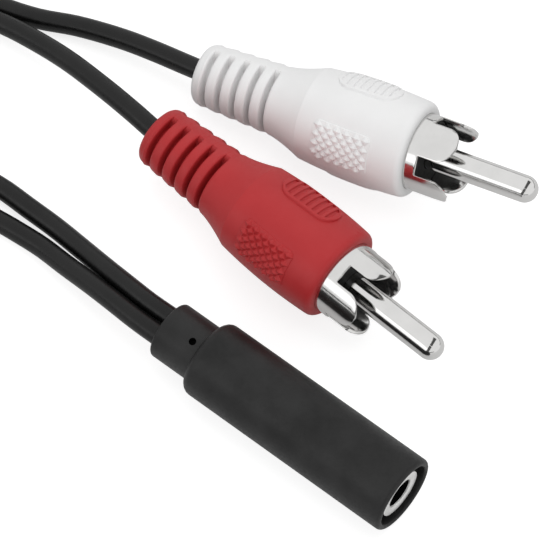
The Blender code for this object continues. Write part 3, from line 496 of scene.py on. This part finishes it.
def plug_skin_profile():
    neck = BODY_LENGTH + SHOULDER_LENGTH
    end = neck + RELIEF_LENGTH
    shell_bore = SHELL_DIAMETER / 2 + CLOSE_GAP
    points = [(0.0, shell_bore)]
    points += corner((-FRONT_FILLET, body_radius(FRONT_FILLET) - FRONT_FILLET), FRONT_FILLET, 0, 90)
    rings = 16
    for i in range(1, rings):
        station = FRONT_FILLET + (BODY_LENGTH - FRONT_FILLET) * i / rings
        points.append((-station, body_radius(station)))
    shoulder = body_radius(BODY_LENGTH)
    rings = 9
    for i in range(rings + 1):
        share = i / rings
        drop = 1.0 - (1.0 - share) ** 1.35
        points.append((-BODY_LENGTH - SHOULDER_LENGTH * share,
                       shoulder + (NECK_DIAMETER / 2 - shoulder) * drop))
    points += [(-station, radius) for station, radius, skin in slot_rings()]
    end_radius = RELIEF_END_DIAMETER / 2
    points += corner((-end + RELIEF_END_FILLET, end_radius - RELIEF_END_FILLET),
                     RELIEF_END_FILLET, 90, 180)
    bore = CORD_DIAMETER / 2 + FIT_GAP
    points += [(-end, bore + BORE_LEAD_WIDTH), (-end + BORE_LEAD_LENGTH, bore), (-BAY_END, bore),
               (-BAY_END, BAY_END_RADIUS), (-BAY_TAPER_START, BAY_RADIUS), (-BAY_START, BAY_RADIUS),
               (-BAY_START, shell_bore), (0.0, shell_bore)]
    return points


def rounded_block(start, length, width, rounding, segments):
    """Block with rounded upright corners that stands out of the body at +Z."""
    middle = (-start - length / 2, 0.0, BODY_DIAMETER / 2 - PAD_ROOT)
    bpy.ops.mesh.primitive_plane_add(size=1.0, location=middle)
    made = bpy.context.object
    made.scale = (length, width, 1.0)
    bpy.ops.object.transform_apply(location=True, rotation=True, scale=True)
    bpy.ops.object.mode_set(mode="EDIT")
    bpy.ops.mesh.select_all(action="SELECT")
    bpy.ops.mesh.bevel(offset=rounding, segments=segments, affect="VERTICES")
    bpy.ops.mesh.select_all(action="SELECT")
    bpy.ops.mesh.extrude_region_move(TRANSFORM_OT_translate={"value": (0.0, 0.0, BODY_DIAMETER / 2)})
    bpy.ops.mesh.select_all(action="SELECT")
    bpy.ops.mesh.normals_make_consistent(inside=False)
    bpy.ops.object.mode_set(mode="OBJECT")
    return made


def raised_surface(rise):
    """Solid whose outside is the surface of a pad that stands this far out of the body."""
    outline = [(-FRONT_FILLET, 0.0)]
    rings = 12
    for i in range(rings + 1):
        station = FRONT_FILLET + (BODY_LENGTH - FRONT_FILLET) * i / rings
        outline.append((-station, body_radius(station) + rise))
    outline.append((-BODY_LENGTH, 0.0))
    return turn_profile("raised_surface", outline, steps=SKIN_STEPS)


def shape_rib_pad():
    """Racetrack pad with scooped grooves across it that stop short of its rim."""
    pad = rounded_block(RIB_PAD_START, RIB_PAD_LENGTH, RIB_PAD_WIDTH,
                        rounding=RIB_PAD_WIDTH / 2 - MERGE, segments=12)
    carve(pad, raised_surface(PAD_RISE), "INTERSECT")
    soften_edges(pad, width=0.09 * MM, angle=40.0)
    rings = []
    for number in range(1, RIB_COUNT):
        station = RIB_PAD_START + RIB_PAD_LENGTH * number / RIB_COUNT
        ring_radius = body_radius(station) + PAD_RISE + GROOVE_RADIUS - GROOVE_DEPTH
        bpy.ops.mesh.primitive_torus_add(major_radius=ring_radius, minor_radius=GROOVE_RADIUS,
                                         major_segments=96, minor_segments=12,
                                         location=(-station, 0.0, 0.0),
                                         rotation=(0.0, math.pi / 2, 0.0))
        rings.append(bpy.context.object)
    rings = merge_pieces(rings, "groove_rings")
    opening = rounded_block(RIB_PAD_START + RIB_PAD_RIM, RIB_PAD_LENGTH - 2 * RIB_PAD_RIM,
                            RIB_PAD_WIDTH - 2 * RIB_PAD_RIM,
                            rounding=RIB_PAD_WIDTH / 2 - RIB_PAD_RIM - MERGE, segments=12)
    settle(opening, move=(0.0, 0.0, -MERGE))
    carve(rings, opening, "INTERSECT")
    carve(pad, rings)
    return pad


def shape_knurl_pad():
    """Rectangular pad: staggered rows of little pyramids on a low bed."""
    pad = rounded_block(KNURL_PAD_START, KNURL_PAD_LENGTH, KNURL_PAD_WIDTH,
                        rounding=KNURL_PAD_CORNER, segments=6)
    carve(pad, raised_surface(KNURL_BED_RISE), "INTERSECT")
    soften_edges(pad, width=0.03 * MM, angle=40.0)
    bpy.ops.mesh.primitive_cone_add(vertices=4, radius1=PYRAMID_FOOT_SHARE, radius2=PYRAMID_TOP_SHARE,
                                    depth=KNURL_RISE, location=(0.0, 0.0, KNURL_RISE / 2))
    model = bpy.context.object
    model.scale = (KNURL_STEP_ALONG, KNURL_STEP_ROUND, 1.0)
    bpy.ops.object.transform_apply(location=True, rotation=True, scale=True)
    soften_edges(model, width=0.05 * MM, angle=30.0)
    studs = [pad]
    for row in range(KNURL_ROWS):
        for column in range(KNURL_COLUMNS):
            if (row + column) % 2:
                continue
            station = (KNURL_PAD_START + KNURL_PAD_LENGTH / 2
                       + (row - (KNURL_ROWS - 1) / 2) * KNURL_STEP_ALONG)
            skin = body_radius(station)
            angle = (column - (KNURL_COLUMNS - 1) / 2) * KNURL_STEP_ROUND / skin
            stud = copy_of(model, "pyramid")
            stud.matrix_world = (Matrix.Rotation(angle, 4, "X")
                                 @ Matrix.Translation((-station, 0.0, skin)))
            studs.append(stud)
    bpy.data.objects.remove(model, do_unlink=True)
    return merge_pieces(studs, "knurl_pad")


def shape_plug_skin():
    """The moulding: slots that stop at a spine on two sides, a crisp shoulder and four grip pads."""
    skin = turn_profile("plug_skin", plug_skin_profile(), steps=SKIN_STEPS)
    bpy.ops.object.mode_set(mode="EDIT")
    for station, radius, outside in slot_rings():
        if radius > outside - MERGE:
            continue
        for near, far, fill in SPINE_FILLS:
            grown = 1.0 + (outside / radius - 1.0) * fill
            pick(skin, lambda at: (abs(at.x + station) < MERGE
                                   and abs(math.hypot(at.y, at.z) - radius) < MERGE
                                   and near < math.degrees(math.atan(at.y / (at.z or MERGE))) <= far))
            bpy.ops.transform.resize(value=(1.0, grown, grown), center_override=(-station, 0.0, 0.0))
    pick(skin, lambda at: abs(at.x + BODY_LENGTH) < MERGE)
    bpy.ops.mesh.mark_sharp()
    bpy.ops.object.mode_set(mode="OBJECT")
    pads = []
    for make, turns in ((shape_rib_pad, (0.0, math.pi)),
                        (shape_knurl_pad, (math.pi / 2, -math.pi / 2))):
        pad = make()
        for turn in turns:
            twin = copy_of(pad, pad.name + "_in_place")
            settle(twin, turn=(turn, 0.0, 0.0))
            pads.append(twin)
        bpy.data.objects.remove(pad, do_unlink=True)
    return merge_pieces([skin] + pads, "plug_skin")


def shape_shell():
    """Spring shell: a plated cup whose wall is slit into four fingers."""
    outer = SHELL_DIAMETER / 2
    inner = outer - SHELL_WALL
    flange = SHELL_SEAT - SHELL_WALL
    tip = SHELL_TIP_TAPER
    middle = SHELL_SLOT_BASE + (SHELL_REACH - SHELL_SLOT_BASE) / 2
    late = SHELL_REACH - SHELL_TIP_TAPER_LENGTH
    profile = [(SHELL_REACH, inner - tip), (SHELL_REACH, outer - tip), (late, outer - tip * 0.35),
               (middle, outer), (SHELL_SLOT_BASE * 0.8, outer), (0.0, outer), (-SHELL_SEAT, outer),
               (-SHELL_SEAT, SHELL_HOLE_RADIUS), (-flange, SHELL_HOLE_RADIUS), (-flange, inner),
               (0.0, inner), (SHELL_SLOT_BASE * 0.8, inner), (middle, inner),
               (late, inner - tip * 0.35), (SHELL_REACH, inner - tip)]
    shell = turn_profile("plug_shell", profile, steps=80)
    half = SHELL_SLOT_WIDTH / 2
    finger_half = math.pi / 4 - math.asin(half / outer)
    for turn in (0.0, math.pi / 2):
        slot = shape_shell_slot(half, finger_half, outer)
        settle(slot, turn=(turn, 0.0, 0.0))
        carve(shell, slot)
    soften_edges(shell, width=0.07 * MM, angle=50.0)
    return shell


def shape_shell_slot(half, finger_half, outer):
    """Cutter for two opposite slots, flared at the front by the round tips of the fingers. A plane
    squeezed to a line across the slot's base is drawn out to its front, and then upwards."""
    bpy.ops.mesh.primitive_plane_add(size=1.0, location=(SHELL_SLOT_BASE, 0.0, -SHELL_DIAMETER))
    cutter = bpy.context.object
    cutter.scale = (MERGE / 10, 2 * half, 1.0)
    bpy.ops.object.transform_apply(location=True, rotation=True, scale=True)
    bpy.ops.object.mode_set(mode="EDIT")
    bpy.ops.mesh.select_all(action="SELECT")
    bpy.ops.mesh.remove_doubles(threshold=MERGE)
    bpy.ops.mesh.select_all(action="SELECT")
    shoulder = SHELL_REACH - FINGER_TIP_LENGTH
    x, y = SHELL_SLOT_BASE, half
    steps = 10
    for i in range(steps + 2):
        t = math.pi / 2 * min(i, steps) / steps
        next_x = shoulder + FINGER_TIP_LENGTH * math.sin(t) + (MM if i > steps else 0.0)
        next_y = outer * math.sin(math.pi / 4 - finger_half * math.cos(t))
        bpy.ops.mesh.extrude_edges_move(TRANSFORM_OT_translate={"value": (next_x - x, 0.0, 0.0)})
        bpy.ops.transform.resize(value=(1.0, next_y / y, 1.0), center_override=(next_x, 0.0, 0.0))
        x, y = next_x, next_y
    bpy.ops.mesh.select_all(action="SELECT")
    bpy.ops.mesh.extrude_region_move(TRANSFORM_OT_translate={"value": (0.0, 0.0, 2 * SHELL_DIAMETER)})
    bpy.ops.mesh.select_all(action="SELECT")
    bpy.ops.mesh.normals_make_consistent(inside=False)
    bpy.ops.object.mode_set(mode="OBJECT")
    return cutter


def shape_pin():
    """Round-nosed pin with a flange and, behind it, the cup for its wire."""
    radius = PIN_DIAMETER / 2
    profile = [(PIN_REACH, 0.0)] + corner((PIN_REACH - radius, 0.0), radius, 12, 90, steps=9)
    profile += [(-PIN_FLANGE_START, radius), (-PIN_FLANGE_START, PIN_FLANGE_RADIUS),
                (-PIN_FLANGE_END, PIN_FLANGE_RADIUS), (-PIN_FLANGE_END, CUP_RADIUS),
                (-CUP_END, CUP_RADIUS), (-CUP_END, CUP_BORE_RADIUS),
                (-CUP_FLOOR, CUP_BORE_RADIUS), (-CUP_FLOOR, 0.0)]
    return turn_profile("plug_pin", profile, steps=64)


def shape_insulator():
    """Disc at the bottom of the shell, with a boss behind it round the pin."""
    outer = SHELL_DIAMETER / 2 - SHELL_WALL - CLOSE_GAP
    bore = PIN_DIAMETER / 2 + FIT_GAP / 2
    profile = [(INSULATOR_REACH, bore), (INSULATOR_REACH, outer - INSULATOR_EASE),
               (INSULATOR_REACH - INSULATOR_EASE, outer), (-INSULATOR_BACK, outer),
               (-INSULATOR_BACK, BOSS_RADIUS), (-BOSS_END, BOSS_RADIUS), (-BOSS_END, bore),
               (INSULATOR_REACH, bore)]
    return turn_profile("plug_insulator", profile, steps=64)


def dress_plug(side, models, middle, height, heading, pitch, shell_turn, colour):
    """Copies of the four models that show, in their place on the cable."""
    skin, shell, pin, insulator = models
    move = Vector((middle[0] * MM, middle[1] * MM, height)) + LAYOUT_SHIFT
    pieces = (
        (skin, "moulding", "plug_housing", colour, colour, 0.0),
        (shell, "spring_shell", "shell", "nickel", "shell", shell_turn),
        (pin, "centre_pin", "pin", "nickel", "pin", 0.0),
        (insulator, "front_insulator", "insulator", "insulator_black", "insulator", 0.0),
    )
    for model, label, node, slot_name, finish_name, extra_turn in pieces:
        piece = copy_of(model, f"{side}_{label}")
        settle(piece, turn=(PLUG_ROLL + extra_turn, -pitch, -heading), move=move)
        dress(piece, f"{side}_{node}", finishes[finish_name])


# Jack socket

def paint_recess_shade(piece, finish_name, inside):
    """Two finishes: the piece's own, and a near-black one that paints shade on the faces that lie in
    its hole. The test for these takes the middle of a face."""
    piece.data.materials.clear()
    piece.data.materials.append(finishes[finish_name])
    piece.data.materials.append(finishes["bore"])
    for face in piece.data.polygons:
        face.material_index = 1 if inside(face.center) else 0


def shape_socket():
    """The moulding: a barrel with a recessed mouth, and a collar with two cord bores and a small
    blind hole."""
    barrel = BARREL_DIAMETER / 2
    collar = COLLAR_DIAMETER / 2
    end = BARREL_LENGTH + COLLAR_LENGTH
    recess = RECESS_DIAMETER / 2
    cavity = barrel - BARREL_WALL
    wall_end = RECESS_DEPTH + FRONT_WALL
    bore = BUSHING_DIAMETER / 2 + FIT_GAP
    foot = 0.25 * MM
    profile = [(-CAVITY_END, 0.0), (-CAVITY_END, cavity), (-wall_end, cavity), (-wall_end, bore),
               (-RECESS_DEPTH, bore), (-RECESS_DEPTH, recess)]
    lip = barrel - BARREL_FRONT_FILLET - recess
    profile += [(-lip + lip * math.sin(turn), recess + lip - lip * math.cos(turn))
                for turn in map(math.radians, range(0, 90, 15))]
    profile += corner((-BARREL_FRONT_FILLET, barrel - BARREL_FRONT_FILLET),
                      BARREL_FRONT_FILLET, 0, 90)
    straight = BARREL_LENGTH - BARREL_FRONT_FILLET - BARREL_REAR_FILLET
    rings = 12
    profile += [(-BARREL_FRONT_FILLET - straight * i / rings, barrel) for i in range(1, rings)]
    profile += corner((-BARREL_LENGTH + BARREL_REAR_FILLET, barrel - BARREL_REAR_FILLET),
                      BARREL_REAR_FILLET, 90, 180)
    profile += [(-BARREL_LENGTH, collar + foot), (-BARREL_LENGTH - foot * 0.3, collar + foot * 0.3),
                (-BARREL_LENGTH - foot, collar)]
    profile += corner((-end + COLLAR_FILLET, collar - COLLAR_FILLET), COLLAR_FILLET, 90, 180)
    profile += [(-end, 0.0)]
    socket = turn_profile("socket_moulding", profile, steps=SKIN_STEPS)
    cord_bore = CORD_DIAMETER / 2 + CORD_GAP
    for side in (-1, 1):
        middle = (-(end + CAVITY_END) / 2, side * CORD_SPACING / 2, 0.0)
        bpy.ops.mesh.primitive_cylinder_add(vertices=48, radius=cord_bore,
                                            depth=end - CAVITY_END + 2 * MM,
                                            location=middle, rotation=(0.0, math.pi / 2, 0.0))
        carve(socket, bpy.context.object)
    radius = MARK_DIAMETER / 2
    away = Vector((0.0, -math.sin(MARK_ANGLE), math.cos(MARK_ANGLE)))
    at = away * collar + Vector((-BARREL_LENGTH - MARK_STATION, 0.0, 0.0))
    bpy.ops.mesh.primitive_cylinder_add(vertices=32, radius=radius, depth=2 * MARK_DEPTH,
                                        location=at, rotation=(MARK_ANGLE, 0.0, 0.0))
    carve(socket, bpy.context.object)
    # Painted shade: the faces inside the blind hole get the near-black bore finish
    paint_recess_shade(socket, "black_pvc",
                     lambda spot: ((spot - at).length < 1.25 * MARK_DEPTH
                                   and (spot - at).cross(away).length < radius + MERGE
                                   and (spot - at).dot(away) < -0.1 * MARK_DEPTH))
    return socket


def shape_bushing():
    """Sleeve contact: a rounded lead-in to its bore, which is painted near-black as shade, and a
    flange behind the barrel's wall.
    """
    outer = BUSHING_DIAMETER / 2
    bore = BUSHING_BORE / 2
    flange = BUSHING_FLANGE_DIAMETER / 2
    tail = BUSHING_TAIL_DIAMETER / 2
    start = BUSHING_SETBACK
    flange_start = RECESS_DEPTH + FRONT_WALL + FIT_GAP
    flange_end = flange_start + BUSHING_FLANGE_LENGTH
    end = start + BUSHING_LENGTH
    ease = 0.1 * MM
    lead = 0.25 * MM
    profile = [(-start - lead, bore), (-start - lead * 0.3, bore + lead * 0.3), (-start, bore + lead),
               (-start, outer - ease), (-start - ease * 0.3, outer - ease * 0.3),
               (-start - ease, outer), (-flange_start, outer), (-flange_start, flange),
               (-flange_end, flange),
               (-flange_end, tail), (-end, tail), (-end, bore), (-start - lead, bore)]
    bushing = turn_profile("bushing", profile, steps=96)
    # Painted shade: the bore's faces behind the lead-in get the near-black bore finish
    paint_recess_shade(bushing, "bushing",
                     lambda spot: (spot.x < -start - lead
                                   and math.hypot(spot.y, spot.z) < bore + MERGE))
    return bushing


def dress_socket():
    ahead = Vector((math.cos(SOCKET_HEADING), -math.sin(SOCKET_HEADING), 0.0)) * SOCKET_LEAD
    place = Vector((SOCKET_PLACE[0] * MM, SOCKET_PLACE[1] * MM, BARREL_DIAMETER / 2))
    move = place + LAYOUT_SHIFT + ahead
    for piece, name, node, slot_name in (
            (shape_socket(), "socket_moulding", "socket_housing", "black_pvc"),
            (shape_bushing(), "socket_bushing_ring", "socket_bushing", "nickel")):
        piece.name = name
        settle(piece, turn=(0.0, 0.0, -SOCKET_HEADING), move=move)
        dress(piece, node)


# Floor, light and backdrop

def ray_strength(nodes, links, always, seen, mirrored):
    """Strength that every ray finds, with more for what the camera sees or a shiny skin mirrors."""
    path = nodes.new("ShaderNodeLightPath")
    total = None
    for output, share in (("Is Camera Ray", seen), ("Is Glossy Ray", mirrored),
                          ("Is Transmission Ray", mirrored)):
        add = nodes.new("ShaderNodeMath")
        add.operation = "MULTIPLY_ADD"
        add.inputs[1].default_value = share
        links.new(path.outputs[output], add.inputs[0])
        if total is None:
            add.inputs[2].default_value = always
        else:
            links.new(total, add.inputs[2])
        total = add.outputs["Value"]
    return total


def lay_floor():
    bpy.ops.mesh.primitive_plane_add(size=8.0, location=(0.0, 0.0, 0.0))
    floor = bpy.context.object
    floor.name = "studio_floor"
    made, nodes, links, shader = matte("floor_white", 0.45)
    glow = nodes.new("ShaderNodeEmission")
    glow.inputs["Color"].default_value = (1.0, 1.0, 1.0, 1.0)
    strength = ray_strength(nodes, links, always=0.10, seen=0.68, mirrored=0.18)
    links.new(strength, glow.inputs["Strength"])
    both = nodes.new("ShaderNodeAddShader")
    links.new(shader.outputs["BSDF"], both.inputs[0])
    links.new(glow.outputs["Emission"], both.inputs[1])
    links.new(both.outputs["Shader"], nodes["Material Output"].inputs["Surface"])
    floor.data.materials.append(made)


def soft_box(name, location, size, power, mirrored=True):
    """Lamp that faces the middle of the set."""
    bpy.ops.object.light_add(type="AREA", location=location)
    lamp = bpy.context.object
    lamp.name = name
    lamp.data.shape = "RECTANGLE"
    lamp.data.size = size[0]
    lamp.data.size_y = size[1]
    lamp.data.energy = power
    lamp.visible_glossy = mirrored
    lamp.rotation_euler = (-Vector(location)).to_track_quat("-Z", "Y").to_euler()


def dark_band(name, radius, low, high, start, end, turn=(0.0, 0.0, 0.0), shade=0.012):
    """Strip of dark cloth round the set from one angle to another, in degrees from +X, and
    upright unless turned. Only mirrors and shiny skins show it."""
    bpy.ops.mesh.primitive_circle_add(vertices=96, radius=radius, fill_type="NOTHING",
                                      location=(0.0, 0.0, low))
    band = bpy.context.object
    band.name = name
    bpy.ops.object.transform_apply(location=True, rotation=True, scale=True)
    bpy.ops.object.mode_set(mode="EDIT")
    pick(band, lambda at: not start <= math.degrees(math.atan2(at.y, at.x)) % 360.0 <= end)
    bpy.ops.mesh.delete(type="VERT")
    bpy.ops.mesh.select_all(action="SELECT")
    bpy.ops.mesh.extrude_edges_move(TRANSFORM_OT_translate={"value": (0.0, 0.0, high - low)})
    bpy.ops.object.mode_set(mode="OBJECT")
    settle(band, turn=turn)
    band.visible_camera = False
    band.visible_diffuse = False
    band.visible_shadow = False
    band.data.materials.append(matte(name + "_cloth", shade)[0])


def light_studio():
    world = bpy.data.worlds.new("studio_air")
    world.use_nodes = True
    nodes, links = world.node_tree.nodes, world.node_tree.links
    sky = nodes["Background"]
    sky.inputs["Color"].default_value = (1.0, 1.0, 1.0, 1.0)
    strength = ray_strength(nodes, links, always=0.54, seen=0.46, mirrored=0.38)
    links.new(strength, sky.inputs["Strength"])
    bpy.context.scene.world = world
    soft_box("front_left_box", (-0.66, -0.44, 0.42), size=(0.90, 0.34), power=0.55)
    soft_box("front_fill_box", (0.05, -0.85, 0.42), size=(0.90, 0.50), power=1.8, mirrored=False)
    soft_box("back_fill_box", (0.22, 0.82, 0.50), size=(0.90, 0.50), power=1.1, mirrored=False)
    soft_box("top_box", (0.10, 0.25, 0.95), size=(0.90, 0.90), power=3.4, mirrored=False)


def hang_bands():
    """Two low bands give the metal its dark lines. An arch behind the camera, square to the
    pins, darkens the metal that faces it."""
    dark_band("front_band", radius=0.60, low=0.062, high=0.116, start=150.0, end=300.0)
    dark_band("back_band", radius=0.60, low=0.055, high=0.105, start=0.0, end=150.0)
    toward_camera = CAMERA_PLACE.normalized()
    along_pins = Vector((math.cos(PIN_HEADING), -math.sin(PIN_HEADING), 0.0))
    axis = (along_pins - along_pins.dot(toward_camera) * toward_camera).normalized()
    turn = Matrix((toward_camera, axis.cross(toward_camera), axis)).transposed().to_euler()
    for name, start, end in (("camera_arch", 0.0, 62.0), ("camera_arch_back", 280.0, 359.9)):
        dark_band(name, radius=0.66, low=-0.09, high=0.15, start=start, end=end, turn=turn,
                  shade=0.16)


# The whole cable

finishes = {
    "white_pvc": pvc("white_pvc", (0.86, 0.86, 0.86), (0.89, 0.89, 0.89), rough=(0.40, 0.50),
                     skin_scale=2600.0, skin_height=0.004 * MM, specular=0.35),
    "red_pvc": pvc("red_pvc", (0.435, 0.024, 0.027), (0.465, 0.029, 0.032), rough=(0.40, 0.52),
                   skin_scale=2600.0, skin_height=0.004 * MM, specular=0.35),
    "black_pvc": pvc("black_pvc", (0.006, 0.006, 0.006), (0.017, 0.017, 0.017), rough=(0.38, 0.52),
                     skin_scale=2600.0, skin_height=0.012 * MM, specular=0.34),
    "cord_black": pvc("cord_black", (0.003, 0.003, 0.003), (0.006, 0.006, 0.006), rough=(0.26, 0.38),
                      skin_scale=2200.0, skin_height=0.004 * MM, specular=0.34),
    "insulator": pvc("insulator_black", (0.002, 0.002, 0.002), (0.004, 0.004, 0.004),
                     rough=(0.45, 0.55), skin_scale=2600.0, skin_height=0.004 * MM, specular=0.12),
    "shell": plating("nickel_plate", (0.72, 0.715, 0.705), (0.76, 0.755, 0.745), rough=(0.10, 0.16),
                     skin_scale=1800.0, skin_height=0.0006 * MM),
    "pin": plating("nickel_pin", (0.74, 0.735, 0.725), (0.78, 0.775, 0.765), rough=(0.07, 0.11),
                   skin_scale=1800.0, skin_height=0.0004 * MM),
    "bushing": plating("nickel_bushing", (0.90, 0.895, 0.885), (0.93, 0.925, 0.915),
                       rough=(0.38, 0.48), skin_scale=1800.0, skin_height=0.001 * MM),
    # Near-black finish that paints shade inside the socket's blind hole and the bushing's bore
    "bore": pvc("bore_painted_shade", (0.001, 0.001, 0.001), (0.002, 0.002, 0.002), rough=(0.60, 0.70),
                skin_scale=1800.0, skin_height=0.001 * MM, specular=0.05),
    "copper": plating("copper_wire", (0.74, 0.34, 0.20), (0.80, 0.40, 0.24), rough=(0.25, 0.40),
                      skin_scale=3000.0, skin_height=0.003 * MM),
    "inner_mould": pvc("inner_mould_white", (0.72, 0.72, 0.69), (0.78, 0.78, 0.75),
                       rough=(0.45, 0.60), skin_scale=2000.0, skin_height=0.010 * MM),
    "dielectric": pvc("core_jacket", (0.76, 0.74, 0.66), (0.82, 0.80, 0.72), rough=(0.40, 0.55),
                      skin_scale=2400.0, skin_height=0.006 * MM),
}

place_camera()
lay_cord("left_cord_jacket", "left_cord", LEFT_CORD_ROUTE, finishes["cord_black"])
lay_cord("right_cord_jacket", "right_cord", RIGHT_CORD_ROUTE, finishes["cord_black"])

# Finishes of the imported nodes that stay, by the ends of their names
NODE_FINISHES = (
    ("_inner_mould", "inner_mould"), ("_ground_tab", "shell"), ("_core_insulation", "dielectric"),
    ("_core_wire", "copper"), ("_screen_tail", "copper"), ("_spring", "shell"), ("_lug", "shell"),
    ("contact_frame", "insulator"), ("_insulation", "dielectric"), ("_wire", "copper"),
)
for node_name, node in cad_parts.items():
    for ending, finish_name in NODE_FINISHES:
        if node_name.endswith(ending):
            node.data.materials.clear()
            node.data.materials.append(finishes[finish_name])
            break

# The white plug rests on the rear of its body and on its relief's end, so it is pitched
rear_radius = body_radius(BODY_LENGTH)
relief_end = BODY_LENGTH + SHOULDER_LENGTH + RELIEF_LENGTH - RELIEF_END_FILLET
pitch = math.atan((rear_radius - RELIEF_END_DIAMETER / 2) / (relief_end - BODY_LENGTH))
pitched_height = rear_radius * math.cos(pitch) + BODY_LENGTH * math.sin(pitch)
plug_models = (shape_plug_skin(), shape_shell(), shape_pin(), shape_insulator())
dress_plug("left", plug_models, LEFT_PLUG_PLACE, pitched_height, LEFT_PLUG_HEADING, pitch,
           LEFT_SHELL_TURN, "white_pvc")

# The red plug rests level on the edge of a rib pad
pad_reach = BODY_DIAMETER / 2 + PAD_RISE
level_height = pad_reach * math.cos(abs(PLUG_ROLL) - math.asin(RIB_PAD_WIDTH / 2 / pad_reach))
dress_plug("right", plug_models, RIGHT_PLUG_PLACE, level_height, RIGHT_PLUG_HEADING, 0.0,
           RIGHT_SHELL_TURN, "red_pvc")
for model in plug_models:
    bpy.data.objects.remove(model, do_unlink=True)
dress_socket()

lay_floor()
light_studio()
hang_bands()
bpy.context.scene.view_settings.view_transform = "Standard"
